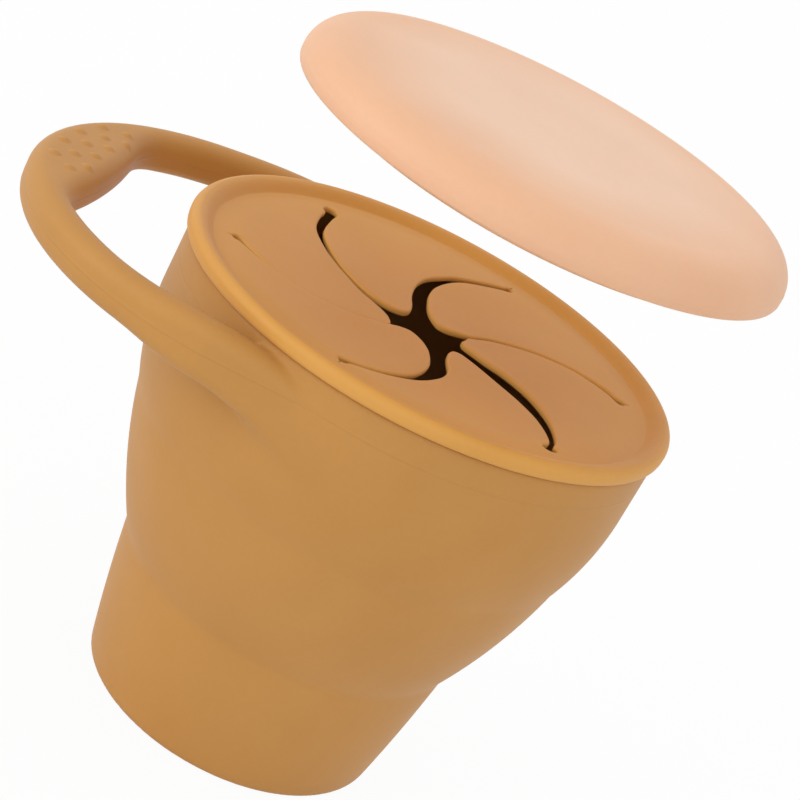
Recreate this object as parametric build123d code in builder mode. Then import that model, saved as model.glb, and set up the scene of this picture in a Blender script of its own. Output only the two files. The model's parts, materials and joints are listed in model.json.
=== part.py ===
from build123d import *
from math import atan2, cos, degrees, radians, sin
import os

# Soft collapsible snack cup for a toddler: a cup with a loop handle, a slit lid that lets a hand
# in but keeps the snacks from falling out, and a cover. Sizes are in millimetres, +Z is up, and
# the origin is the middle of the cup's flat foot. The handle points along -X.

# Cup, from the foot up
foot_r = 29.45  # outer radius at the foot, before its edge is rounded
foot_round = 1.2
floor_t = 2.4
floor_round = 3.0  # inside, between floor and wall
low_crease_z = 27.7  # lower fold line
low_crease_r = 33.6
low_wall_t = 2.2
high_crease_z = 55.0  # upper fold line
high_crease_r = 43.1
fold_wall_t = 1.4
fold_bulge = 1.0  # how far the fold wall swells beyond the straight line between the creases
shoulder_z = 72.0  # the wall is almost upright from here to the rim
shoulder_draft = 0.1  # how much less its radius is there than at the rim
shoulder_bulge = 0.6
high_wall_t = 2.0
rim_z = 85.3
rim_r = 46.5
rim_round = 0.4

# Slit lid: a lip that lies on the cup's rim, a plug ring inside the cup and a thin membrane
lip_overhang = 1.0  # beyond the cup's wall
lip_edge_r = 1.6  # radius of the round outer edge
lip_w = 4.4  # from the outer edge in to the membrane
lip_step = 1.8  # how far the lip stands above the membrane
lip_slope_r = 3.0  # hollow curve from the lip down to the membrane
membrane_t = 1.2
membrane_dish = 1.9  # how far the petals droop at the middle
plug_clearance = 0.3
plug_t = 1.6
plug_depth = 5.8
plug_round = 0.5

# Six curved slits, which leave six petals
petal_count = 6
slit_margin = 4.9  # flat membrane between the lip and the circle on which the slits end
slit_end_angle = 15.0  # first slit, counter-clockwise from +X
slit_hole_r = 1.5  # round hole that stops a slit from tearing
slit_tip_r = 9.5  # circle on which the slits open into the middle hole
slit_twist = 34.0  # how far a slit turns on its way in
slit_bow = 6.4  # how far it bows out from a straight line
# How far each slit gapes at its outer end, its middle and its inner end
slit_gaps = (
    (0.6, 0.6, 0.8),
    (0.6, 1.0, 3.0),
    (1.7, 0.7, 1.4),
    (0.6, 0.6, 0.8),
    (0.6, 1.0, 3.2),
    (1.2, 2.2, 2.3),
)
nose_r = 5.3  # how near the petals' tips come to the middle
nose_angle = -2.0
nose_corner_r = 1.1
hinge_start = 0.25  # how far along its slit a petal's bend line begins
hinge_corner_r = 0.9

# Loop handle, a flat ring that grows out of the cup's wall
handle_drop = 5.3  # from the rim down to the strap's middle
loop_reach = 27.2  # from the cup's rim out to the strap's middle line
loop_r = 43.9  # radius of the strap's middle line
strap_w = 6.4
strap_h = 8.8
strap_round = 3.0
root_blend_outer = 15.0
root_blend_inner = 3.5
root_sink = 1.0  # how far the blends run into the wall
pad_w = 14.3  # grip pad, from the strap's outer face in
pad_edge_r = 106.0
pad_corner_r = 12.0
bump_r = 1.2
bump_h = 0.7
bump_inset = 3.7  # from the strap's outer edge in to the first row
bump_row_gap = 3.2
bump_step = 10.3  # degrees from bump to bump
bump_shift = 3.0  # degrees, off the middle of the pad
bump_counts = (4, 5, 4)

# Cover, shown lifted off
cover_inset = 1.0  # from the lip's edge in to the cover's
cover_h = 8.1
cover_edge_r = 6.5
cover_wall = 2.0
cover_valley_w = 5.0  # shallow ring on top, inside the rounded edge
cover_valley = 0.3
cover_plug_gap = 0.5  # between the lip and the ring under the cover that drops inside it
cover_plug_w = 1.8
cover_plug_depth = 1.4
cover_rise = 32.0  # lower edge above the lip's top
cover_shift_x = 4.2

# Worked out
shoulder_r = rim_r - shoulder_draft
lip_r = rim_r + lip_overhang
lip_top = rim_z + 2 * lip_edge_r
membrane_r = lip_r - lip_w
membrane_z = lip_top - lip_step
plug_r = shoulder_r - high_wall_t - plug_clearance
slit_end_r = membrane_r - slit_margin
pitch = 360 / petal_count
tolerance = 0.01  # for telling which corners lie on a circle
handle_z = rim_z - handle_drop
loop_x = loop_r - loop_reach - rim_r
strap_outer_r = loop_r + strap_w / 2
strap_inner_r = loop_r - strap_w / 2
pad_top = handle_z + strap_h / 2
bump_ball_r = (bump_r**2 + bump_h**2) / (2 * bump_h)
root_r = rim_r - root_sink
cover_r = lip_r - cover_inset
cover_plug_r = membrane_r - cover_plug_gap
cover_z = lip_top + cover_rise


def polar(radius, degrees):
    """Plan position on a circle round the cup's axis."""
    return Vector(radius * cos(radians(degrees)), radius * sin(radians(degrees)))


def bowed(low, high, bulge, inset=0.0):
    """Three points of an arc from low to high that swells outward, moved in by inset."""
    start = Vector(low[0] - inset, low[1])
    end = Vector(high[0] - inset, high[1])
    run = end - start
    outward = Vector(run.Y, -run.X).normalized()
    return start, (start + end) * 0.5 + outward * bulge, end


def slit_line(index, side=0):
    """Outer, middle and inner plan points of a slit: side 1 and -1 are its two edges."""
    angle = slit_end_angle + pitch * index
    outer = polar(slit_end_r, angle)
    inner = polar(slit_tip_r, angle + slit_twist)
    run = (inner - outer).normalized()
    out = Vector(run.Y, -run.X)
    middle = (outer + inner) * 0.5 + out * slit_bow
    gaps = slit_gaps[index % petal_count]
    return [p + out * (side * gap / 2) for p, gap in zip((outer, middle, inner), gaps)]


low_crease = (low_crease_r, low_crease_z)
high_crease = (high_crease_r, high_crease_z)
shoulder = (shoulder_r, shoulder_z)

os.makedirs("parts", exist_ok=True)

# Foot and lower cone of the cup, open at the lower fold line
with BuildPart() as base_cup:
    with BuildSketch(Plane.XZ) as cone_section:
        with BuildLine():
            Polyline((0, 0), (foot_r, 0), low_crease, (0, low_crease_z), close=True)
        make_face()
        fillet(cone_section.vertices().group_by(Axis.Z)[0].sort_by(Axis.X)[-1], foot_round)
    revolve(axis=Axis.Z)
    floor_r = foot_r + (low_crease_r - foot_r) * floor_t / low_crease_z - low_wall_t
    with BuildSketch(Plane.XZ) as hollow_section:
        with BuildLine():
            Polyline(
                (0, floor_t),
                (floor_r, floor_t),
                (low_crease_r - low_wall_t, low_crease_z),
                (0, low_crease_z),
                close=True,
            )
        make_face()
        fillet(hollow_section.vertices().group_by(Axis.Z)[0].sort_by(Axis.X)[-1], floor_round)
    revolve(axis=Axis.Z, mode=Mode.SUBTRACT)
base_cup.part.label = "base_cup"

# Thin wall between the two fold lines, which turns inside out when the cup is pushed down
with BuildPart() as fold_wall:
    fold_outer = bowed(low_crease, high_crease, fold_bulge)
    fold_inner = bowed(low_crease, high_crease, fold_bulge, fold_wall_t)
    with BuildSketch(Plane.XZ):
        with BuildLine():
            ThreePointArc(*fold_outer)
            Line(fold_outer[2], fold_inner[2])
            ThreePointArc(*fold_inner[::-1])
            Line(fold_inner[0], fold_outer[0])
        make_face()
    revolve(axis=Axis.Z)
fold_wall.part.label = "fold_wall"

# Upper wall, from the upper fold line to the rim under the lid
shoulder_outer = bowed(high_crease, shoulder, shoulder_bulge)
shoulder_inner = bowed(high_crease, shoulder, shoulder_bulge, high_wall_t)
with BuildPart() as upper_wall:
    with BuildSketch(Plane.XZ) as upper_section:
        with BuildLine():
            ThreePointArc(*shoulder_outer)
            Polyline(shoulder, (rim_r, rim_z), (rim_r - high_wall_t, rim_z), shoulder_inner[2])
            ThreePointArc(*shoulder_inner[::-1])
            Line(shoulder_inner[0], high_crease)
        make_face()
        fillet(upper_section.vertices().group_by(Axis.Z)[-1], rim_round)
    revolve(axis=Axis.Z)
upper_wall.part.label = "upper_wall"

# Outer shape of the cup as a solid, used to end the handle on the wall
with BuildPart() as wall_core:
    with BuildSketch(Plane.XZ):
        with BuildLine():
            ThreePointArc(*shoulder_outer)
            Polyline(shoulder, (rim_r, rim_z), (0, rim_z), (0, high_crease_z), high_crease)
        make_face()
    revolve(axis=Axis.Z)

def is_pad_corner(corner):
    """Whether a corner of the handle's half plan is where the pad meets the strap."""
    return corner.X < loop_x and corner.Y > tolerance


def is_root(corner):
    """Whether a corner of the handle's half plan is where an edge of the strap meets the cup."""
    return abs(Vector(corner).length - root_r) < tolerance and corner.Y > tolerance


# Loop handle with its grip pad and the pad's bumps: half of its plan is drawn and mirrored
with BuildPart() as handle:
    with BuildSketch(Plane.XY.offset(handle_z - strap_h / 2)) as strap_plan:
        with Locations((loop_x, 0)):
            Circle(strap_outer_r)
            Circle(strap_inner_r, mode=Mode.SUBTRACT)
        with BuildSketch(Plane.XY, mode=Mode.PRIVATE) as pad_plan:
            with Locations((loop_x, 0)):
                Circle(strap_outer_r)
            with Locations((loop_x - strap_outer_r + pad_w - pad_edge_r, 0)):
                Circle(pad_edge_r, mode=Mode.INTERSECT)
        add(pad_plan.sketch)
        Circle(root_r)
        split(bisect_by=Plane.XZ, keep=Keep.BOTTOM)
        fillet(strap_plan.vertices().filter_by(is_pad_corner), pad_corner_r)
        fillet(strap_plan.vertices().filter_by(is_root).sort_by(Axis.X)[-1], root_blend_outer)
        fillet(strap_plan.vertices().filter_by(is_root).sort_by(Axis.X)[0], root_blend_inner)
        mirror(about=Plane.XZ)
    extrude(amount=strap_h)
    flats = handle.faces().filter_by(Axis.Z)
    fillet(flats.edges(), strap_round)
    add(wall_core.part, mode=Mode.SUBTRACT)
    for row, count in enumerate(bump_counts):
        row_r = strap_outer_r - bump_inset - row * bump_row_gap
        for place in range(count):
            angle = 180 + bump_shift + bump_step * (place - (count - 1) / 2)
            spot = Vector(loop_x, 0, pad_top + bump_h - bump_ball_r) + polar(row_r, angle)
            with Locations(spot):
                Sphere(bump_ball_r)
handle.part.label = "handle"

# Slit lid before it is slit: lip, plug ring and membrane
with BuildPart() as lid_blank:
    with BuildSketch(Plane.XZ) as lid_section:
        with BuildLine() as lid_outline:
            lip_c = (lip_r - lip_edge_r, rim_z + lip_edge_r)
            edge_top = (lip_c[0], lip_top)
            edge_low = (lip_c[0], rim_z)
            dish_z = membrane_z - membrane_dish
            half_z = membrane_z - membrane_dish * 3 / 4
            Polyline(edge_low, (plug_r, rim_z), (plug_r, rim_z - plug_depth))
            Line((plug_r, rim_z - plug_depth), (plug_r - plug_t, rim_z - plug_depth))
            Line((plug_r - plug_t, rim_z - plug_depth), (plug_r - plug_t, membrane_z - membrane_t))
            Line((plug_r - plug_t, membrane_z - membrane_t), (slit_end_r, membrane_z - membrane_t))
            ThreePointArc(
                (slit_end_r, membrane_z - membrane_t),
                (slit_end_r / 2, half_z - membrane_t),
                (0, dish_z - membrane_t),
            )
            Line((0, dish_z - membrane_t), (0, dish_z))
            ThreePointArc((0, dish_z), (slit_end_r / 2, half_z), (slit_end_r, membrane_z))
            Line((slit_end_r, membrane_z), (membrane_r, membrane_z))
            RadiusArc((membrane_r, membrane_z), edge_top, lip_slope_r)
            ThreePointArc(edge_top, (lip_c[0] + lip_edge_r, lip_c[1]), edge_low)
        make_face()
    revolve(axis=Axis.Z)
    plug_edges = lid_blank.edges().filter_by(GeomType.CIRCLE).group_by(Axis.Z)[0]
    fillet(plug_edges, plug_round)

# Plan of everything cut out of the membrane: the slits, their end holes and the middle
with BuildSketch() as slit_plan:
    for index in range(petal_count):
        low_side = slit_line(index, -1)
        high_side = slit_line(index, 1)
        with BuildLine():
            ThreePointArc(*low_side)
            Line(low_side[2], high_side[2])
            ThreePointArc(*high_side[::-1])
            Line(high_side[0], low_side[0])
        make_face()
        with Locations(slit_line(index)[0]):
            Circle(slit_hole_r)
    with BuildLine():
        for index in range(petal_count):
            nose = polar(nose_r, slit_end_angle + pitch * (index + 1) + nose_angle)
            Line(slit_line(index, -1)[2], slit_line(index, 1)[2])
            ThreePointArc(slit_line(index, 1)[2], nose, slit_line(index + 1, -1)[2])
    make_face()

# Plan of the part of the membrane that bends: each bend line runs from one slit to the next
with BuildSketch() as bend_plan:
    with BuildLine():
        for index in range(petal_count):
            line = ThreePointArc(*slit_line(index), mode=Mode.PRIVATE)
            next_line = ThreePointArc(*slit_line(index + 1), mode=Mode.PRIVATE)
            ThreePointArc(line @ 0, line @ (hinge_start / 2), line @ hinge_start)
            Line(line @ hinge_start, next_line @ 0)
    make_face()

# The six petals in plan, with rounded tips and a rounded start of each bend line
with BuildSketch() as petal_plan:
    add(bend_plan.sketch)
    add(slit_plan.sketch, mode=Mode.SUBTRACT)
    tips = petal_plan.vertices().filter_by(lambda v: Vector(v).length < slit_tip_r + 2)
    fillet(tips, nose_corner_r)
    starts = petal_plan.vertices().filter_by(lambda v: 28 < Vector(v).length < 35)
    fillet(starts, hinge_corner_r)

# Lip, plug ring and the flat outer part of the membrane
with BuildPart() as lid_ring:
    add(lid_blank.part)
    extrude(bend_plan.sketch, amount=lip_top, mode=Mode.SUBTRACT)
    extrude(slit_plan.sketch, amount=lip_top, mode=Mode.SUBTRACT)
lid_ring.part.label = "lid_ring"

# Cover, in its place above the lid
cover_plane = Plane(origin=(cover_shift_x, 0, cover_z), x_dir=(1, 0, 0), z_dir=(0, -1, 0))
with BuildPart() as cover:
    with BuildSketch(cover_plane) as cover_section:
        with BuildLine():
            edge_r = cover_r - cover_edge_r
            plug_in = cover_plug_r - cover_plug_w
            Line((0, cover_h), (edge_r - cover_valley_w, cover_h))
            Spline(
                (edge_r - cover_valley_w, cover_h),
                (edge_r - cover_valley_w / 2, cover_h - cover_valley),
                (edge_r, cover_h),
                tangents=((1, 0), (1, 0)),
            )
            RadiusArc((edge_r, cover_h), (cover_r, cover_h - cover_edge_r), cover_edge_r)
            Polyline(
                (cover_r, cover_h - cover_edge_r),
                (cover_r, 0),
                (cover_plug_r, 0),
                (cover_plug_r, -cover_plug_depth),
                (plug_in, -cover_plug_depth),
                (plug_in, cover_h - cover_wall),
                (0, cover_h - cover_wall),
                (0, cover_h),
            )
        make_face()
    revolve(axis=Axis((cover_shift_x, 0, 0), (0, 0, 1)))
cover.part.label = "cover"

export_step(base_cup.part, "parts/base_cup.step")
export_step(fold_wall.part, "parts/fold_wall.step")
export_step(upper_wall.part, "parts/upper_wall.step")
export_step(handle.part, "parts/handle.step")
export_step(lid_ring.part, "parts/lid_ring.step")
export_step(cover.part, "parts/cover.step")

# Each petal is the membrane inside its own outline, numbered counter-clockwise from the first slit
def turn_from_first_slit(outline):
    centre = outline.center()
    return (degrees(atan2(centre.Y, centre.X)) - slit_end_angle) % 360


for index, outline in enumerate(petal_plan.faces().sort_by(turn_from_first_slit)):
    with BuildPart() as petal:
        add(lid_blank.part)
        extrude(outline, amount=lip_top, mode=Mode.INTERSECT)
    petal.part.label = f"petal_{index + 1}"
    export_step(petal.part, f"parts/petal_{index + 1}.step")
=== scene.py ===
import json
import math

import bmesh
import bpy
import numpy as np
from mathutils import Matrix, Vector
from mathutils.geometry import delaunay_2d_cdt


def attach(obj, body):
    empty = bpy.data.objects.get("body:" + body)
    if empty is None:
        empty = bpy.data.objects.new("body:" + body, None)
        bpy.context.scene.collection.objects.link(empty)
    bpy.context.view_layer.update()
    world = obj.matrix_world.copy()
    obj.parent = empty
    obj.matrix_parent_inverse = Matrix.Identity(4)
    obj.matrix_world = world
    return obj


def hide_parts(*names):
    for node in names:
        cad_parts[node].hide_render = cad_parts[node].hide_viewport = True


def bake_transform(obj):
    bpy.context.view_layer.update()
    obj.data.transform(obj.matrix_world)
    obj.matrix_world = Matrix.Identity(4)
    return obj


# Looks of a soft silicone snack cup with a loop handle, a slit lid and a lifted cover.
# Lengths are in millimetres in the CAD frame until a mesh is made from them.

MM = 0.001
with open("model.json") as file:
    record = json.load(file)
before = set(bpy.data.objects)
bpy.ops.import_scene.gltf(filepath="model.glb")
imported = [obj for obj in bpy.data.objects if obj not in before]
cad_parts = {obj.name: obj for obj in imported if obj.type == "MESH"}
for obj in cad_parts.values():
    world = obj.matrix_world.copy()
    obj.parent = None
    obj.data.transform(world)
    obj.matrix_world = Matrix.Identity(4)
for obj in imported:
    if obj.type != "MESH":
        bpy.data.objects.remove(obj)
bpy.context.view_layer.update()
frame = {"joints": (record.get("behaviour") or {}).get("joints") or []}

# Cup, outside from the foot up
foot_r, foot_z_round = 29.45, 1.2
low_crease_r, low_crease_z = 33.6, 27.7
high_crease_r, high_crease_z = 43.1, 55.0
shoulder_r, shoulder_z = 46.4, 72.0
rim_r, rim_z = 46.5, 85.3
cone_bulge, fold_bulge, shoulder_bulge = 0.25, 1.0, 0.75
crease_soft = 0.7  # how far a crease is rounded to each side
mesh_step = 0.8  # a coarser mesh would leave holes in the thin wall
floor_t, low_wall_t, fold_wall_t, high_wall_t = 2.4, 2.2, 1.5, 2.0
floor_round = 3.0

# Handle
handle_z = 80.0
loop_x, loop_r = -29.8, 43.9
strap_half_w, strap_half_h, strap_round = 3.2, 4.15, 3.1
strap_lean = 0.075  # how much the straight roots lean in towards the wall
root_x, root_run = -30.0, 20.0  # where the roots begin to thin out, and over what length
root_rise, root_drop, end_fall, end_flare = 0.6, 1.5, 3.2, 5.2
pad_w, pad_edge_r, pad_soft, pad_turn = 14.3, 122.0, 4.5, 2.0
pad_end_x, strap_x = -50.0, -40.0  # the pad blends away between these
root_soft_top, root_soft_low = 1.2, 3.2  # rounding between handle and wall
bump_r, bump_h = 1.5, 0.5
bump_inset, bump_row_gap, bump_step, bump_shift = 3.8, 3.1, 10.6, -3.5
bump_counts = (4, 5, 4)

# Slit lid
lip_r, lip_edge_r, lip_top = 47.5, 1.6, 88.5
membrane_r, membrane_z, membrane_t, membrane_dish = 43.1, 86.7, 1.2, 1.9
plug_r, plug_t, plug_depth = 44.1, 1.6, 5.8
slit_end_r, slit_end_angle, slit_pitch = 38.2, 15.0, 60.0
petal_seam_r = 40.6
rim_soft, shut_soft = 0.42, 0.03  # rounding of a petal's edge, and where its slit is shut

# Edges of the six slits from the outer end in: radius and degrees on from the slit's end.
# The first list is the edge of the petal that follows the slit, the second that of the petal
# before it, which runs on round that petal's tip. A closed slit has one line for both.
slit_edges = (
    (((36, 5), (30.4, 15), (23.2, 23.2), (15, 29), (10.5, 29)), ((9.5, 27.5), (8.2, 21))),
    (
        ((36.3, 4), (30.2, 15.2), (26.7, 21), (23.3, 27), (19.1, 32.8), (14.1, 39), (11.5, 42.5)),
        ((36, 2), (29.1, 13.5), (22.3, 21.5), (17.6, 25), (13.6, 26), (9.7, 25), (6.9, 18), (5.3, 1),
         (6.2, -17), (8.4, -25)),
    ),
    (
        ((36.5, 5), (31.7, 14), (26.3, 21), (21.4, 27.5), (16.4, 36), (13.8, 42.5), (9.7, 56),
         (8.3, 69)),
        ((35.5, 2), (30.9, 11.5), (25.6, 18.8), (19.3, 27.5), (13.7, 35), (10.9, 37.5), (8.8, 36.5),
         (6.9, 30), (6, 17), (6.4, 0), (8.8, -13)),
    ),
    (((35.5, 4), (32.8, 8.5), (28, 16), (23, 22), (18, 27), (13, 30), (9.4, 31)), ((8.3, 20),)),
    (
        ((35.3, 5), (31, 12), (26.1, 20.5), (20.1, 31), (16.8, 37), (14.6, 40.5), (11.9, 43.5),
         (9, 49.5)),
        ((35, 3.8), (30.2, 11), (24.4, 18.5), (16.8, 25.5), (12.5, 27), (8.8, 25), (5.7, 9), (5.3, -17),
         (7.2, -28)),
    ),
    (
        ((36.1, 5.5), (30.9, 14), (25.8, 22), (21, 30), (15.7, 38), (12.2, 42), (9.4, 49),
         (7.2, 60), (7, 72)),
        ((36.8, 1.9), (29.9, 9.4), (23.1, 14.4), (17.6, 17.2), (12.2, 21), (9.7, 23), (7.4, 22.6),
         (6.5, 14), (7, 1)),
    ),
)
shut_slit = 3  # its edges meet, so that it hardly shows
closed_gap = {0: 0.6, shut_slit: 0.02}
closed_end_gap = 1.0  # added at the outer end of a closed slit
hole_radius = (1.0, 0.8, 1.5, 1.0, 0.9, 1.5)  # at the slits' outer ends

# Cover
cover_x, cover_z = 4.2, 120.5
cover_r, cover_h, cover_wall = 46.5, 8.1, 2.0
cover_valley = 0.3
cover_plug_r, cover_plug_w, cover_plug_depth = 42.6, 1.8, 1.4
cover_inner_round = 3.2

# Looks
mould_line_z, mould_line_w = handle_z - 0.1, 0.22
cover_pale_r, cover_deep_r = 20.0, 44.0  # its colour deepens between these radii
world_strength, floor_white = 0.87, 0.94
key_power, fill_power, back_power = 15.0, 5.0, 2.0
lamp_distance, lamp_size = 2.2, 1.6


# ---------------------------------------------------------------- mesh helpers


def new_object(name, points, faces, body=None):
    """Smooth mesh object from points in millimetres, with its rest place kept as an attribute."""
    points = np.asarray(points, float) * MM
    mesh = bpy.data.meshes.new(name)
    mesh.from_pydata(points.tolist(), [], [list(map(int, f)) for f in faces])
    mesh.update()
    rest = mesh.attributes.new("rest", "FLOAT_VECTOR", "POINT")
    rest.data.foreach_set("vector", points.astype(np.float32).ravel())
    obj = bpy.data.objects.new(name, mesh)
    bpy.context.scene.collection.objects.link(obj)
    mesh.polygons.foreach_set("use_smooth", [True] * len(mesh.polygons))
    if body:
        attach(obj, body)
    return obj


def arc(start, middle, end, count=16):
    """Points of a circle arc through three points."""
    (ax, ay), (bx, by), (cx, cy) = start, middle, end
    d = 2 * (ax * (by - cy) + bx * (cy - ay) + cx * (ay - by))
    a2, b2, c2 = ax * ax + ay * ay, bx * bx + by * by, cx * cx + cy * cy
    ux = (a2 * (by - cy) + b2 * (cy - ay) + c2 * (ay - by)) / d
    uy = (a2 * (cx - bx) + b2 * (ax - cx) + c2 * (bx - ax)) / d
    first = math.atan2(ay - uy, ax - ux)
    turn = [(math.atan2(y - uy, x - ux) - first) % math.tau for x, y in (middle, end)]
    if turn[0] > turn[1]:
        turn[1] -= math.tau
    radius = math.hypot(ax - ux, ay - uy)
    angles = [first + turn[1] * i / (count - 1) for i in range(count)]
    return [(ux + radius * math.cos(a), uy + radius * math.sin(a)) for a in angles]


def bowed(low, high, bulge, count=24):
    """Points of an arc from low to high that swells outward by bulge."""
    run = np.subtract(high, low)
    out = np.array([run[1], -run[0]]) / np.linalg.norm(run)
    return arc(low, tuple((np.add(low, high)) / 2 + out * bulge), high, count)


def even(line, step):
    """The line again as points an even step apart."""
    line = np.array(line, float)
    along = np.r_[0, np.cumsum(np.linalg.norm(np.diff(line, axis=0), axis=1))]
    count = max(2, int(round(along[-1] / step)) + 1)
    s = np.linspace(0, along[-1], count)
    return np.c_[np.interp(s, along, line[:, 0]), np.interp(s, along, line[:, 1])]


def softened(line, step, reach):
    """The line with its corners rounded over reach to each side; its ends stay."""
    points = even(line, step)
    half = max(1, int(reach / step))
    for _ in range(2):
        before = 2 * points[0] - points[half:0:-1]
        after = 2 * points[-1] - points[-2 : -half - 2 : -1]
        padded = np.vstack([before, points, after])
        total = np.cumsum(np.vstack([[0, 0], padded]), axis=0)
        width = 2 * half + 1
        points = (total[width:] - total[:-width]) / width
    return points


def between(a, b, t, start, end):
    """The point at t on the line that is at a for start and at b for end."""
    return ((end - t) * a + (t - start) * b) / (end - start)


def spline(points, per_span=14):
    """Smooth open curve through the points (centripetal Catmull-Rom)."""
    p = np.array(points, float)
    p = np.vstack([2 * p[0] - p[1], p, 2 * p[-1] - p[-2]])
    out = []
    for a, b, c, d in zip(p[:-3], p[1:-2], p[2:-1], p[3:]):
        knot = np.cumsum([0] + [math.sqrt(np.linalg.norm(v)) for v in (b - a, c - b, d - c)])
        for t in np.linspace(knot[1], knot[2], per_span, endpoint=False):
            ab = between(a, b, t, knot[0], knot[1])
            bc = between(b, c, t, knot[1], knot[2])
            cd = between(c, d, t, knot[2], knot[3])
            abc = between(ab, bc, t, knot[0], knot[2])
            bcd = between(bc, cd, t, knot[1], knot[3])
            out.append(between(abc, bcd, t, knot[1], knot[2]))
    out.append(p[-2])
    return np.array(out)


def lathe(line, closed=True, count=256, centre=(0.0, 0.0)):
    """Points and faces of a profile (radius, height) turned round the vertical line at centre."""
    line = np.array(line, float)
    angles = np.arange(count) * math.tau / count
    points, rows = [], []
    for r, z in line:
        if r < 1e-6:
            rows.append([len(points)] * count)
            points.append((centre[0], centre[1], z))
        else:
            rows.append(list(range(len(points), len(points) + count)))
            points += [(centre[0] + r * math.cos(a), centre[1] + r * math.sin(a), z) for a in angles]
    faces = []
    pairs = list(zip(rows, rows[1:])) + ([(rows[-1], rows[0])] if closed else [])
    for low, high in pairs:
        for i in range(count):
            j = (i + 1) % count
            face = list(dict.fromkeys((low[i], low[j], high[j], high[i])))
            if len(face) > 2:
                faces.append(face)
    return points, faces


# ---------------------------------------------------------------- cup with its handle


def smooth_min(a, b, k):
    """The smaller of two distances, with the corner between them rounded over k."""
    h = np.clip(0.5 + 0.5 * (b - a) / k, 0, 1)
    return b + (a - b) * h - k * h * (1 - h)


def smooth_max(a, b, k):
    return -smooth_min(-a, -b, k)


def smooth_step(x, low, high):
    """0 below low, 1 above high, and a smooth rise between."""
    t = np.clip((x - low) / (high - low), 0, 1)
    return t * t * (3 - 2 * t)


def cup_outside():
    """Outer profile from the middle of the foot to the rim."""
    foot_edge = arc(
        (foot_r - foot_z_round, 0),
        (foot_r - 0.32 * foot_z_round, 0.32 * foot_z_round),
        (foot_r + 0.1, foot_z_round),
        8,
    )
    low_crease = (low_crease_r, low_crease_z)
    high_crease = (high_crease_r, high_crease_z)
    wall = bowed(foot_edge[-1], low_crease, cone_bulge)
    wall += bowed(low_crease, high_crease, fold_bulge)[1:]
    wall += bowed(high_crease, (shoulder_r, shoulder_z), shoulder_bulge)[1:]
    wall += [(rim_r, rim_z + 4)]
    wall = softened(wall, 0.25, crease_soft)
    return np.vstack([[0, 0], even(foot_edge, 0.2), wall[1:]])


def cup_inside(outside):
    """Profile of the hollow, each wall's thickness inside the outer one."""
    wall = outside[outside[:, 1] > floor_t]
    z = wall[:, 1]
    t = low_wall_t + (fold_wall_t - low_wall_t) * smooth_step(z, low_crease_z - 3, low_crease_z + 1)
    t = t + (high_wall_t - fold_wall_t) * smooth_step(z, high_crease_z - 1, high_crease_z + 4)
    slope = np.gradient(wall[:, 0], z)
    wall = np.c_[wall[:, 0] - t * np.sqrt(1 + slope**2), z]
    corner = [(0, floor_t), (wall[0, 0], floor_t)]
    return softened(corner + wall.tolist(), 0.25, floor_round * 0.6)


class Turned:
    """Signed distance to a turned profile, looked up in a grid of radius and height."""

    step = 0.25

    def __init__(self, line):
        self.low = -3.0
        r = np.arange(0, 52, self.step)
        z = np.arange(self.low, 94, self.step)
        grid_r, grid_z = np.meshgrid(r, z, indexing="ij")
        points = np.c_[grid_r.ravel(), grid_z.ravel()]
        best = np.full(len(points), 1e9)
        for a, b in zip(line[:-1], line[1:]):
            ab = b - a
            t = np.clip(((points - a) @ ab) / (ab @ ab), 0, 1)
            d = points - a - t[:, None] * ab
            best = np.minimum(best, d[:, 0] ** 2 + d[:, 1] ** 2)
        wall_z = np.maximum.accumulate(line[:, 1] + 1e-9 * np.arange(len(line)))
        edge = np.interp(points[:, 1], wall_z, line[:, 0])
        inside = (points[:, 1] > line[0, 1]) & (points[:, 0] < edge)
        self.grid = (np.where(inside, -1, 1) * np.sqrt(best)).reshape(grid_r.shape)

    def __call__(self, r, z):
        i = np.clip(r / self.step, 0, self.grid.shape[0] - 1.001)
        j = np.clip((z - self.low) / self.step, 0, self.grid.shape[1] - 1.001)
        i0, j0 = i.astype(int), j.astype(int)
        u, v = i - i0, j - j0
        g = self.grid
        low = g[i0, j0] * (1 - u) + g[i0 + 1, j0] * u
        high = g[i0, j0 + 1] * (1 - u) + g[i0 + 1, j0 + 1] * u
        return low * (1 - v) + high * v


def handle_plan(x, y):
    """Signed plan distance to the strap, which runs on straight at its roots, with its pad."""
    on = np.maximum(x - loop_x, 0)
    from_middle = np.where(x < loop_x, np.hypot(x - loop_x, y), np.abs(y) + strap_lean * on)
    strap = np.abs(from_middle - loop_r) - strap_half_w
    outer = np.hypot(x - loop_x, y) - (loop_r + strap_half_w)
    away = loop_r + strap_half_w - pad_w + pad_edge_r
    turn = math.radians(pad_turn)
    pad = np.hypot(x - loop_x + away * math.cos(turn), y - away * math.sin(turn)) - pad_edge_r
    pad = np.maximum(outer, pad)
    blend = pad_soft * (1 - smooth_step(x, pad_end_x, strap_x)) + 0.01
    keep_round = np.where(x < pad_end_x, outer, -9.0)
    return np.maximum(smooth_min(strap, pad, blend), keep_round)


def handle_field(x, y, z):
    """Signed distance to the loop handle; its roots flare down the wall and thin out."""
    end = np.clip((x - root_x) / root_run, 0, 1.2)
    rise = root_rise * smooth_step(x, root_x - 22, root_x)
    drop = root_drop * smooth_step(x, root_x - 16, root_x)
    top = handle_z + strap_half_h + rise - end_fall * end**1.6
    low = handle_z - strap_half_h - drop - end_flare * end**1.3
    half = (top - low) / 2
    flat = handle_plan(x, y) + strap_round
    tall = np.abs(z - (top + low) / 2) - half + strap_round
    outside = np.hypot(np.maximum(flat, 0), np.maximum(tall, 0))
    return np.minimum(np.maximum(flat, tall), 0) + outside - strap_round


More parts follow.
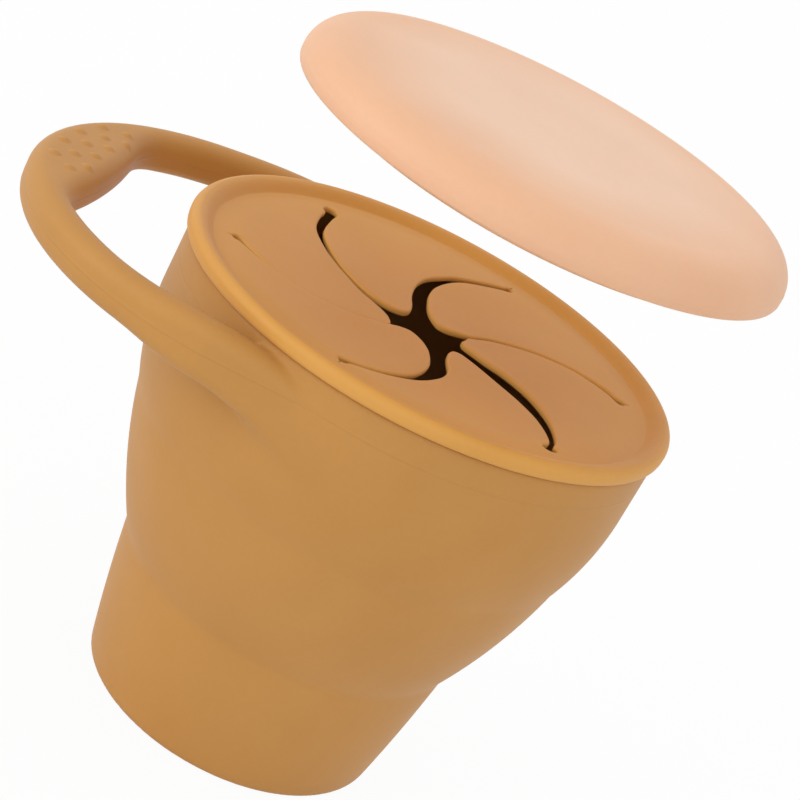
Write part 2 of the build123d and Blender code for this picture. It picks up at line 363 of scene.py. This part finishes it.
def cup_field(outside, inside):
    """Signed distance to the whole cup: wall and handle run together, hollowed, cut at the rim."""
    wall, hollow = Turned(outside), Turned(inside)

    def field(p):
        x, y, z = p[:, 0], p[:, 1], p[:, 2]
        r = np.hypot(x, y)
        above = smooth_step(z, handle_z - 5, handle_z + 2)
        soft = root_soft_low + (root_soft_top - root_soft_low) * above
        soft = soft * (1 - 0.6 * smooth_step(x, -14, 0))
        # The straps end in the wall near x = 0 instead of running on along it.
        handle = handle_field(x, y, z) + 6 * smooth_step(x, -6, 6)
        d = smooth_min(wall(r, z), handle, soft)
        d = smooth_max(d, -hollow(r, z), 0.6)
        return smooth_max(d, z - rim_z, 0.8)

    return field


def surface_net(field, low, high, step):
    """Quad mesh of a field's zero surface: one point for each cell it crosses."""
    axes = [np.arange(a, b + step, step) for a, b in zip(low, high)]
    grid = np.stack(np.meshgrid(*axes, indexing="ij"), -1)
    shape = grid.shape[:3]
    d = field(grid.reshape(-1, 3)).reshape(shape)
    corners = [(i, j, k) for i in (0, 1) for j in (0, 1) for k in (0, 1)]

    def cut(c):
        return tuple(slice(o, n - 1 + o) for o, n in zip(c, shape))

    total = np.zeros([n - 1 for n in shape] + [3])
    hits = np.zeros([n - 1 for n in shape])
    for axis in range(3):
        for c in corners:
            if c[axis]:
                continue
            c2 = tuple(1 if i == axis else o for i, o in enumerate(c))
            a, b = d[cut(c)], d[cut(c2)]
            crossed = (a < 0) != (b < 0)
            t = np.where(crossed, a / np.where(crossed, a - b, 1), 0)
            for i in range(3):
                total[..., i] += np.where(crossed, t if i == axis else c[i], 0)
            hits += crossed
    active = hits > 0
    index = np.full(active.shape, -1)
    index[active] = np.arange(active.sum())
    cells = np.argwhere(active)
    points = np.array(low) + (cells + total[active] / hits[active][:, None]) * step
    faces = []
    for axis in range(3):
        u, v = (axis + 1) % 3, (axis + 2) % 3
        first = [slice(0, n) for n in shape]
        first[axis] = slice(0, shape[axis] - 1)
        second = list(first)
        second[axis] = slice(1, shape[axis])
        a, b = d[tuple(first)], d[tuple(second)]
        for inward in (True, False):
            edges = np.argwhere((a < 0) & (b >= 0) if inward else (a >= 0) & (b < 0))
            edges = edges[(edges[:, u] > 0) & (edges[:, v] > 0)]
            edges = edges[(edges[:, u] < shape[u] - 1) & (edges[:, v] < shape[v] - 1)]
            ring = []
            for du, dv in ((1, 1), (0, 1), (0, 0), (1, 0)):
                cell = edges.copy()
                cell[:, u] -= du
                cell[:, v] -= dv
                ring.append(index[cell[:, 0], cell[:, 1], cell[:, 2]])
            quad = np.stack(ring, 1)
            faces.append(quad if inward else quad[:, ::-1])
    return points, np.vstack(faces)


def settled(points, faces, field, rounds=4):
    """Points evened out along the surface and set exactly on it."""
    edges = np.vstack([faces[:, [i, (i + 1) % 4]] for i in range(4)])
    edges = np.unique(np.sort(edges, 1), axis=0)
    near = np.bincount(edges.ravel(), minlength=len(points))[:, None]

    def on_surface(p):
        for _ in range(3):
            h = 0.05
            slope = np.stack([(field(p + s) - field(p - s)) / (2 * h) for s in np.eye(3) * h], 1)
            size = np.maximum((slope**2).sum(1), 0.05)
            p = p - slope * np.clip(field(p) / size, -0.6, 0.6)[:, None]
        return p

    for _ in range(rounds):
        mean = np.zeros_like(points)
        np.add.at(mean, edges[:, 0], points[edges[:, 1]])
        np.add.at(mean, edges[:, 1], points[edges[:, 0]])
        points = on_surface(points + 0.6 * (mean / near - points))
    return points


def make_cup():
    """The cup and its handle as one soft moulding; the real cup folds between the two creases."""
    outside = cup_outside()
    field = cup_field(outside, cup_inside(outside))
    low = (loop_x - loop_r - strap_half_w - 2.1, -rim_r - 2.5, -2.0)
    high = (rim_r + 3.5, rim_r + 2.5, rim_z + 2.7)
    points, faces = surface_net(field, low, high, mesh_step)
    points = settled(points, faces, field)
    points[:, 2] = np.maximum(points[:, 2], 0)
    cup = new_object("cup", points, faces)
    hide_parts("base_cup", "fold_wall", "upper_wall", "handle")
    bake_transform(cup)
    return cup


def make_bumps():
    """Small round bumps in three rows, each set down on the grip pad."""
    across = np.linspace(0, 1, 9)
    height = bump_h * np.cos(across * math.pi / 2) ** 1.6
    line = np.c_[across * bump_r, height - 0.03][::-1]
    points, faces = [], []
    for row, count in enumerate(bump_counts):
        radius = loop_r + strap_half_w - bump_inset - row * bump_row_gap
        for place in range(count):
            angle = math.radians(180 + bump_shift + bump_step * (place - (count - 1) / 2))
            spot = (loop_x + radius * math.cos(angle), radius * math.sin(angle))
            p, f = lathe(line, closed=False, count=24, centre=spot)
            faces += [[i + len(points) for i in face] for face in f]
            points += p
    points = np.array(points)
    pad_top = np.full(len(points), handle_z + 6.0)
    for _ in range(16):
        pad_top -= handle_field(points[:, 0], points[:, 1], pad_top)
    points[:, 2] += pad_top
    bumps = new_object("grip_bumps", points, faces, "upper")
    return bumps


# ---------------------------------------------------------------- slit lid


def make_lip():
    """Lip, plug ring and the plain outer part of the membrane."""
    mid_r, mid_z = lip_r - lip_edge_r, lip_top - lip_edge_r
    under = rim_z
    edge = [
        (mid_r + lip_edge_r * math.cos(a), mid_z + lip_edge_r * math.sin(a))
        for a in np.radians(np.arange(90, -1, -9))
    ]
    edge += [(lip_r - 0.02, under + 0.9), (lip_r - 0.1, under + 0.5), (lip_r - 0.28, under + 0.2)]
    edge += [(lip_r - 0.55, under + 0.03), (lip_r - 0.9, under)]
    slope = spline(
        [
            (membrane_r - 0.05, membrane_z),
            (membrane_r + 0.35, membrane_z + 0.35),
            (membrane_r + 1.2, membrane_z + 1.12),
            (membrane_r + 2.0, membrane_z + 1.6),
            (mid_r, lip_top),
        ],
        6,
    ).tolist()
    flat_r = (petal_seam_r, petal_seam_r + 1, membrane_r - 0.9, membrane_r - 0.3)
    flat = [(r, membrane_z) for r in flat_r]
    plug_low = under - plug_depth
    inner = plug_r - plug_t
    plug = [(plug_r, under), (plug_r, plug_low + 0.5), (plug_r - 0.15, plug_low + 0.15)]
    plug += [(plug_r - 0.5, plug_low), (inner + 0.5, plug_low), (inner + 0.15, plug_low + 0.15)]
    plug += [(inner, plug_low + 0.5), (inner, membrane_z - membrane_t - 0.6)]
    plug += [(inner - 0.2, membrane_z - membrane_t - 0.2), (inner - 0.6, membrane_z - membrane_t)]
    plug += [(petal_seam_r, membrane_z - membrane_t)]
    line = flat + slope + edge[1:] + plug
    points, faces = lathe(line, closed=False, count=288)
    lap_top, lap_low = membrane_z - 0.03, membrane_z - membrane_t + 0.03
    lap = [(petal_seam_r + 0.3, lap_top), (petal_seam_r + 0.3, lap_low)]
    lap += [(petal_seam_r - 0.5, lap_low), (petal_seam_r - 0.5, lap_top)]
    more, more_faces = lathe(lap, count=288)
    faces += [[i + len(points) for i in face] for face in more_faces]
    lip = new_object("lid_lip", points + more, faces, "slit_lid")
    lip.data.flip_normals()
    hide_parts("lid_ring")
    return lip


def plan_point(r, degrees):
    """Plan point at a radius and an angle."""
    a = math.radians(degrees)
    return np.array([r * math.cos(a), r * math.sin(a)])


def slit_sides(index):
    """Both edges of a slit from its outer end in, as plan points."""
    first, second = slit_edges[index]
    if index in closed_gap:
        half = [(closed_gap[index] + closed_end_gap * smooth_step(r, 31.5, 36.5)) / 2 for r, _ in first]
        after = [(r, a + math.degrees(h / r)) for (r, a), h in zip(first, half)]
        before = [(r, a - math.degrees(h / r)) for (r, a), h in zip(first, half)] + list(second)
    else:
        after, before = first, second
    turn = slit_end_angle + slit_pitch * index
    return [[plan_point(r, a + turn) for r, a in side] for side in (after, before)]


def hole_side(index, side):
    """Half of the round hole at a slit's outer end, from its outermost point in."""
    turn = slit_end_angle + slit_pitch * index
    centre = plan_point(slit_end_r, turn)
    return [centre + hole_radius[index] * plan_point(1, turn + side * a) for a in (0, 35, 70, 105)]


def petal_outline(index):
    """Free edge of a petal: from one slit's hole in along it, round the tip and out along the next."""
    after = (index + 1) % 6
    side = hole_side(index, 1) + slit_sides(index)[0]
    back = hole_side(after, -1) + slit_sides(after)[1]
    line = spline(side + back[::-1])
    return even(line, 0.45)


def dish(r):
    """Height of the membrane's top, which hangs a little at the middle."""
    big = (slit_end_r**2 + membrane_dish**2) / (2 * membrane_dish)
    return membrane_z - membrane_dish + big - np.sqrt(big**2 - np.minimum(r, slit_end_r) ** 2)


def inward(line):
    """Unit normals of an open plan line, to its right."""
    run = np.gradient(line, axis=0)
    run /= np.linalg.norm(run, axis=1)[:, None]
    return np.c_[run[:, 1], -run[:, 0]]


def filled(loop, gap, spacing):
    """Triangles inside a closed plan loop, with points spread evenly inside."""
    low, high = loop.min(0), loop.max(0)
    rows = np.arange(low[1], high[1], spacing * 0.87)
    grid = [
        (x + (i % 2) * spacing / 2, y)
        for i, y in enumerate(rows)
        for x in np.arange(low[0], high[0], spacing)
    ]
    grid = np.array(grid)
    a, b = loop, np.roll(loop, -1, axis=0)
    over = (a[:, 1] > grid[:, 1:]) != (b[:, 1] > grid[:, 1:])
    with np.errstate(divide="ignore", invalid="ignore"):
        cross = (b[:, 0] - a[:, 0]) * (grid[:, 1:] - a[:, 1]) / (b[:, 1] - a[:, 1]) + a[:, 0]
    inside = (over & (grid[:, :1] < cross)).sum(1) % 2 == 1
    near = np.sqrt(((grid[:, None, :] - loop[None]) ** 2).sum(2)).min(1)
    extra = grid[inside & (near > gap)]
    points = [Vector(p) for p in np.vstack([loop, extra])]
    made = delaunay_2d_cdt(points, [], [list(range(len(loop)))], 1, 1e-6)
    return np.array([tuple(p) for p in made[0]]), [list(f) for f in made[2]]


def make_petal(index):
    """One petal of the membrane with rounded free edges, out to the seam with the lip."""
    line = petal_outline(index)
    into = inward(line)
    soft = np.full(len(line), rim_soft)
    if shut_slit in (index, (index + 1) % 6):
        turn = math.radians(slit_end_angle + slit_pitch * shut_slit)
        r = np.hypot(line[:, 0], line[:, 1])
        away = (np.arctan2(line[:, 1], line[:, 0]) - turn + math.pi) % math.tau - math.pi
        on_slit = (r > 9.8) & (r < 32.0) & (away > -0.2) & (away < 0.75)
        soft = np.where(on_slit, shut_soft, soft)
    soft = np.convolve(np.pad(soft, 6, mode="edge"), np.ones(13) / 13, "valid")
    bend = np.radians(np.arange(0, 91, 15))
    loops, drops = [], []
    for a in bend[::-1]:
        loops.append(line + into * (soft * (1 - math.cos(a)))[:, None])
        drops.append(soft * (1 - math.sin(a)))
    radial = np.arctan2(line[[0, -1], 1], line[[0, -1], 0])
    seam_angles = np.linspace(radial[1], radial[1] - ((radial[1] - radial[0]) % math.tau), 40)
    seam = np.c_[petal_seam_r * np.cos(seam_angles), petal_seam_r * np.sin(seam_angles)]
    cap, triangles = filled(np.vstack([loops[0], seam]), 0.55, 1.3)
    top = np.c_[cap, dish(np.hypot(*cap.T))]
    points = [top, top - [0, 0, membrane_t]]
    faces = [list(f) for f in triangles]
    faces += [[i + len(top) for i in f[::-1]] for f in triangles]
    start, rings = 2 * len(top), []
    heights = [(loop, -drop) for loop, drop in zip(loops, drops)]
    heights += [(loop, drop - membrane_t) for loop, drop in zip(loops[::-1], drops[::-1])]
    for loop, drop in heights:
        points.append(np.c_[loop, dish(np.hypot(*loop.T)) + drop])
        rings.append(np.arange(start, start + len(line)))
        start += len(line)
    for a, b in zip(rings, rings[1:]):
        faces += np.c_[a[:-1], b[:-1], b[1:], a[1:]].tolist()
    petal = new_object(f"petal_{index + 1}", np.vstack(points), faces)
    weld(petal)
    return petal


def weld(obj):
    """Joins points that lie on each other and turns all faces outward."""
    mesh = bmesh.new()
    mesh.from_mesh(obj.data)
    bmesh.ops.remove_doubles(mesh, verts=mesh.verts, dist=2e-6)
    bmesh.ops.recalc_face_normals(mesh, faces=mesh.faces)
    mesh.to_mesh(obj.data)
    mesh.free()
    obj.data.polygons.foreach_set("use_smooth", [True] * len(obj.data.polygons))


def make_petals():
    """The six petals, each with its hinge place and inward direction worked out from its joint."""
    petals = []
    for index in range(6):
        petal = make_petal(index)
        name = f"petal_{index + 1}"
        petal.name = f"lid_{name}"
        joint = next(j for j in frame["joints"] if j["name"] == f"{name}_bend")
        hinge = np.array(joint["pos_m"][:2]) / MM
        axis = np.array(joint["axis"][:2])
        into = np.array([-axis[1], axis[0]])
        if into @ hinge > 0:
            into = -into
        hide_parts(name)
        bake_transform(petal)
        petals.append(petal)
    return petals


# ---------------------------------------------------------------- cover


def make_cover():
    """Shallow cover with a rounded edge and a ring below that drops inside the lip."""
    slope = cover_h - cover_valley
    shape = spline(
        [
            (cover_r - 17.5, cover_h),
            (cover_r - 13.5, cover_h - 0.1),
            (cover_r - 10.0, slope),
            (cover_r - 7.0, slope - 0.12),
            (cover_r - 4.2, slope - 0.85),
            (cover_r - 1.9, slope - 2.3),
            (cover_r - 0.5, slope - 4.2),
            (cover_r, slope - 5.9),
        ],
        8,
    ).tolist()
    top = [(0, cover_h), (cover_r * 0.3, cover_h), (cover_r * 0.5, cover_h)]
    lower = [(cover_r, 0.5), (cover_r - 0.15, 0.15), (cover_r - 0.5, 0), (cover_plug_r + 0.3, 0)]
    plug_in = cover_plug_r - cover_plug_w
    ring = [(cover_plug_r, -0.3), (cover_plug_r, -cover_plug_depth + 0.4)]
    ring += [(cover_plug_r - 0.4, -cover_plug_depth), (plug_in + 0.4, -cover_plug_depth)]
    ceiling, turn_r = cover_h - cover_wall, cover_inner_round
    ring += [(plug_in, -cover_plug_depth + 0.4), (plug_in, ceiling - turn_r)]
    inner_arc = [
        (plug_in - turn_r * (1 - math.cos(a)), ceiling - turn_r * (1 - math.sin(a)))
        for a in np.radians(np.arange(15, 91, 15))
    ]
    line = np.array(top + shape + lower + ring + inner_arc + [(0, ceiling)])
    line[:, 1] += cover_z
    points, faces = lathe(line, closed=False, count=288, centre=(cover_x, 0))
    cover = new_object("cover_shell", points, faces, "cover")
    cover.data.flip_normals()
    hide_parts("cover")
    return cover


# ---------------------------------------------------------------- materials


def node(tree, kind, **values):
    """New node with its sockets or its own settings set by name."""
    made = tree.nodes.new(kind)
    for key, value in values.items():
        if key in made.inputs:
            made.inputs[key].default_value = value
        else:
            setattr(made, key, value)
    return made


def noise(tree, where, scale, detail=3.0, rough=0.5):
    made = node(tree, "ShaderNodeTexNoise")
    made.inputs["Scale"].default_value = scale
    made.inputs["Detail"].default_value = detail
    made.inputs["Roughness"].default_value = rough
    tree.links.new(where, made.inputs["Vector"])
    return made.outputs["Fac"]


def math_node(tree, operation, a, b=None):
    made = node(tree, "ShaderNodeMath", operation=operation)
    for socket, value in zip(made.inputs, (a, b)):
        if isinstance(value, (int, float)):
            socket.default_value = value
        elif value is not None:
            tree.links.new(value, socket)
    return made.outputs[0]


def soft_colour(tree, where, dark, light):
    """Colour that drifts a little over the surface, broadly and finely."""
    broad = noise(tree, where, 38.0, 2.0)
    fine = noise(tree, where, 900.0, 2.0)
    broad = math_node(tree, "MULTIPLY", broad, 0.8)
    mixed = math_node(tree, "ADD", broad, math_node(tree, "MULTIPLY", fine, 0.2))
    ramp = node(tree, "ShaderNodeValToRGB")
    ramp.color_ramp.elements[0].position = 0.32
    ramp.color_ramp.elements[0].color = (*dark, 1)
    ramp.color_ramp.elements[1].position = 0.68
    ramp.color_ramp.elements[1].color = (*light, 1)
    tree.links.new(mixed, ramp.inputs["Fac"])
    return ramp.outputs["Color"]


def linear(r, g, b):
    """sRGB 0-255 to the linear colour that Blender's sockets take."""
    value = [c / 255 for c in (r, g, b)]
    return tuple(c / 12.92 if c <= 0.04045 else ((c + 0.055) / 1.055) ** 2.4 for c in value)


def silicone(name, dark, light, line_z=None):
    """Smooth matt silicone: faint grain, soft sheen and, on the cup, a fine mould line."""
    material = bpy.data.materials.new(name)
    material.use_nodes = True
    tree = material.node_tree
    shader = tree.nodes["Principled BSDF"]
    place = node(tree, "ShaderNodeAttribute", attribute_name="rest").outputs["Vector"]
    tree.links.new(soft_colour(tree, place, dark, light), shader.inputs["Base Color"])
    shader.inputs["Specular IOR Level"].default_value = 0.3
    shader.inputs["Sheen Weight"].default_value = 0.04
    shader.inputs["Sheen Roughness"].default_value = 0.45
    grain = noise(tree, place, 2600.0, 2.0, 0.6)
    rough = node(tree, "ShaderNodeMapRange")
    rough.inputs["To Min"].default_value = 0.5
    rough.inputs["To Max"].default_value = 0.6
    tree.links.new(noise(tree, place, 60.0, 2.0), rough.inputs["Value"])
    tree.links.new(rough.outputs[0], shader.inputs["Roughness"])
    height = math_node(tree, "MULTIPLY", grain, 0.02)
    if line_z is not None:
        split = node(tree, "ShaderNodeSeparateXYZ")
        tree.links.new(place, split.inputs[0])
        off = math_node(tree, "SUBTRACT", split.outputs["Z"], line_z * MM)
        ratio = math_node(tree, "DIVIDE", off, mould_line_w * MM)
        square = math_node(tree, "MULTIPLY", ratio, ratio)
        ridge = math_node(tree, "EXPONENT", math_node(tree, "MULTIPLY", square, -1.0))
        height = math_node(tree, "ADD", height, ridge)
    bump = node(tree, "ShaderNodeBump")
    bump.inputs["Distance"].default_value = 0.00012
    bump.inputs["Strength"].default_value = 0.6
    tree.links.new(height, bump.inputs["Height"])
    tree.links.new(bump.outputs[0], shader.inputs["Normal"])
    return material


def cover_material():
    """Pale peach plastic, satin, a little deeper in colour round its edge."""
    material = bpy.data.materials.new("cover_peach_plastic")
    material.use_nodes = True
    tree = material.node_tree
    shader = tree.nodes["Principled BSDF"]
    place = node(tree, "ShaderNodeAttribute", attribute_name="rest").outputs["Vector"]
    middle = soft_colour(tree, place, linear(226, 187, 158), linear(230, 193, 165))
    edge = soft_colour(tree, place, linear(225, 175, 139), linear(228, 181, 146))
    axis = node(tree, "ShaderNodeVectorMath", operation="SUBTRACT")
    axis.inputs[1].default_value = (cover_x * MM, 0, 0)
    flat = node(tree, "ShaderNodeVectorMath", operation="MULTIPLY")
    flat.inputs[1].default_value = (1, 1, 0)
    size = node(tree, "ShaderNodeVectorMath", operation="LENGTH")
    tree.links.new(place, axis.inputs[0])
    tree.links.new(axis.outputs[0], flat.inputs[0])
    tree.links.new(flat.outputs[0], size.inputs[0])
    share = node(tree, "ShaderNodeMapRange", interpolation_type="SMOOTHSTEP")
    share.inputs["From Min"].default_value = cover_pale_r * MM
    share.inputs["From Max"].default_value = cover_deep_r * MM
    tree.links.new(size.outputs["Value"], share.inputs["Value"])
    mixed = node(tree, "ShaderNodeMix", data_type="RGBA")
    tree.links.new(share.outputs[0], mixed.inputs["Factor"])
    tree.links.new(middle, mixed.inputs[6])
    tree.links.new(edge, mixed.inputs[7])
    tree.links.new(mixed.outputs[2], shader.inputs["Base Color"])
    shader.inputs["Specular IOR Level"].default_value = 0.4
    shader.inputs["Subsurface Weight"].default_value = 0.25
    shader.inputs["Subsurface Radius"].default_value = (1.0, 0.55, 0.35)
    shader.inputs["Subsurface Scale"].default_value = 0.003
    rough = node(tree, "ShaderNodeMapRange")
    rough.inputs["To Min"].default_value = 0.46
    rough.inputs["To Max"].default_value = 0.56
    tree.links.new(noise(tree, place, 45.0, 2.0), rough.inputs["Value"])
    tree.links.new(rough.outputs[0], shader.inputs["Roughness"])
    bump = node(tree, "ShaderNodeBump")
    bump.inputs["Distance"].default_value = 0.00003
    bump.inputs["Strength"].default_value = 0.5
    tree.links.new(noise(tree, place, 1800.0, 2.0, 0.6), bump.inputs["Height"])
    tree.links.new(bump.outputs[0], shader.inputs["Normal"])
    return material


# ---------------------------------------------------------------- floor, light and camera


def seen_ray(tree):
    """One for rays that show the background: from the camera, by a reflection or through glass."""
    ray = node(tree, "ShaderNodeLightPath")
    seen = math_node(tree, "MAXIMUM", ray.outputs["Is Camera Ray"], ray.outputs["Is Glossy Ray"])
    return math_node(tree, "MAXIMUM", seen, ray.outputs["Is Transmission Ray"])


def white_floor():
    """Plain white floor: bright to the camera, with the object's soft shadow left on it."""
    size = 6.0
    corners = [(-size, -size, 0), (size, -size, 0), (size, size, 0), (-size, size, 0)]
    mesh = bpy.data.meshes.new("floor")
    mesh.from_pydata(corners, [], [(0, 1, 2, 3)])
    floor = bpy.data.objects.new("floor", mesh)
    bpy.context.scene.collection.objects.link(floor)
    material = bpy.data.materials.new("floor_white")
    material.use_nodes = True
    tree = material.node_tree
    shader = tree.nodes["Principled BSDF"]
    shader.inputs["Base Color"].default_value = (0.86, 0.86, 0.86, 1)
    shader.inputs["Roughness"].default_value = 0.9
    shader.inputs["Specular IOR Level"].default_value = 0.1
    glow = node(tree, "ShaderNodeEmission", Strength=1.0)
    mix = node(tree, "ShaderNodeMixShader")
    tree.links.new(math_node(tree, "MULTIPLY", seen_ray(tree), floor_white), mix.inputs[0])
    tree.links.new(shader.outputs[0], mix.inputs[1])
    tree.links.new(glow.outputs[0], mix.inputs[2])
    tree.links.new(mix.outputs[0], tree.nodes["Material Output"].inputs["Surface"])
    mesh.materials.append(material)


def white_world():
    """Even light from all round, and plain white where the background is seen."""
    world = bpy.data.worlds.new("studio")
    bpy.context.scene.world = world
    world.use_nodes = True
    tree = world.node_tree
    tree.nodes.clear()
    out = node(tree, "ShaderNodeOutputWorld")
    seen = node(tree, "ShaderNodeBackground")
    seen.inputs["Color"].default_value = (1, 1, 1, 1)
    light = node(tree, "ShaderNodeBackground")
    light.inputs["Color"].default_value = (1.0, 0.99, 0.97, 1)
    light.inputs["Strength"].default_value = world_strength
    mix = node(tree, "ShaderNodeMixShader")
    tree.links.new(seen_ray(tree), mix.inputs[0])
    tree.links.new(light.outputs[0], mix.inputs[1])
    tree.links.new(seen.outputs[0], mix.inputs[2])
    tree.links.new(mix.outputs[0], out.inputs["Surface"])


def soft_box(name, direction, power, target=(0, 0, 0.06)):
    """Round soft lamp that lights the object from a direction."""
    data = bpy.data.lights.new(name, "AREA")
    data.shape = "DISK"
    data.size = lamp_size
    data.energy = power
    lamp = bpy.data.objects.new(name, data)
    bpy.context.scene.collection.objects.link(lamp)
    way = Vector(direction).normalized()
    lamp.location = Vector(target) + way * lamp_distance
    lamp.rotation_mode = "QUATERNION"
    lamp.rotation_quaternion = way.to_track_quat("Z", "Y")


def lights():
    white_world()
    soft_box("key", (-1.0, -0.4, 0.5), key_power)
    soft_box("fill", (0.3, -1.0, 0.36), fill_power)
    soft_box("back", (0.2, 0.9, 0.8), back_power)


def camera():
    """The photograph's view: 23 degrees above the rim's plane and rolled, seen from nearby.

    The target is a point on the cup's axis that lies at target_px in the photograph.
    """
    elevation, roll = math.radians(23.235), math.radians(28.48)
    distance, focal_px, image_px = 0.4001, 2189.0, 800
    target = Vector((0, 0, 0.060))
    target_px = (367.8, 442.5)
    look = Vector((0, math.cos(elevation), -math.sin(elevation)))
    side = Vector((1, 0, 0))
    up = side.cross(look)
    right = math.cos(roll) * side + math.sin(roll) * up
    up = -math.sin(roll) * side + math.cos(roll) * up
    basis = Matrix((right, up, look)).transposed()
    half = image_px / 2
    aim = Vector(((target_px[0] - half) / focal_px, (half - target_px[1]) / focal_px, 1))
    turn = Vector((0, 0, 1)).rotation_difference(aim.normalized()).to_matrix()
    axes = basis @ turn.transposed()
    right, up, forward = axes.col
    data = bpy.data.cameras.new("camera")
    data.sensor_width = 36.0
    data.lens = focal_px * data.sensor_width / image_px
    data.clip_start, data.clip_end = 0.01, 50
    cam = bpy.data.objects.new("camera", data)
    bpy.context.scene.collection.objects.link(cam)
    place = target - look * distance
    cam.matrix_world = Matrix.Translation(place) @ Matrix((right, up, -forward)).transposed().to_4x4()
    bpy.context.scene.camera = cam


camera()
white_floor()
lights()
bpy.context.scene.view_settings.view_transform = "Standard"

cup_finish = silicone("cup_tan_silicone", linear(185, 132, 66), linear(191, 138, 72), mould_line_z)
lid_finish = silicone("lid_tan_silicone", linear(208, 150, 71), linear(214, 156, 77))
for piece in (make_cup(), make_bumps()):
    piece.data.materials.append(cup_finish)
for piece in [make_lip(), *make_petals()]:
    piece.data.materials.append(lid_finish)
make_cover().data.materials.append(cover_material())
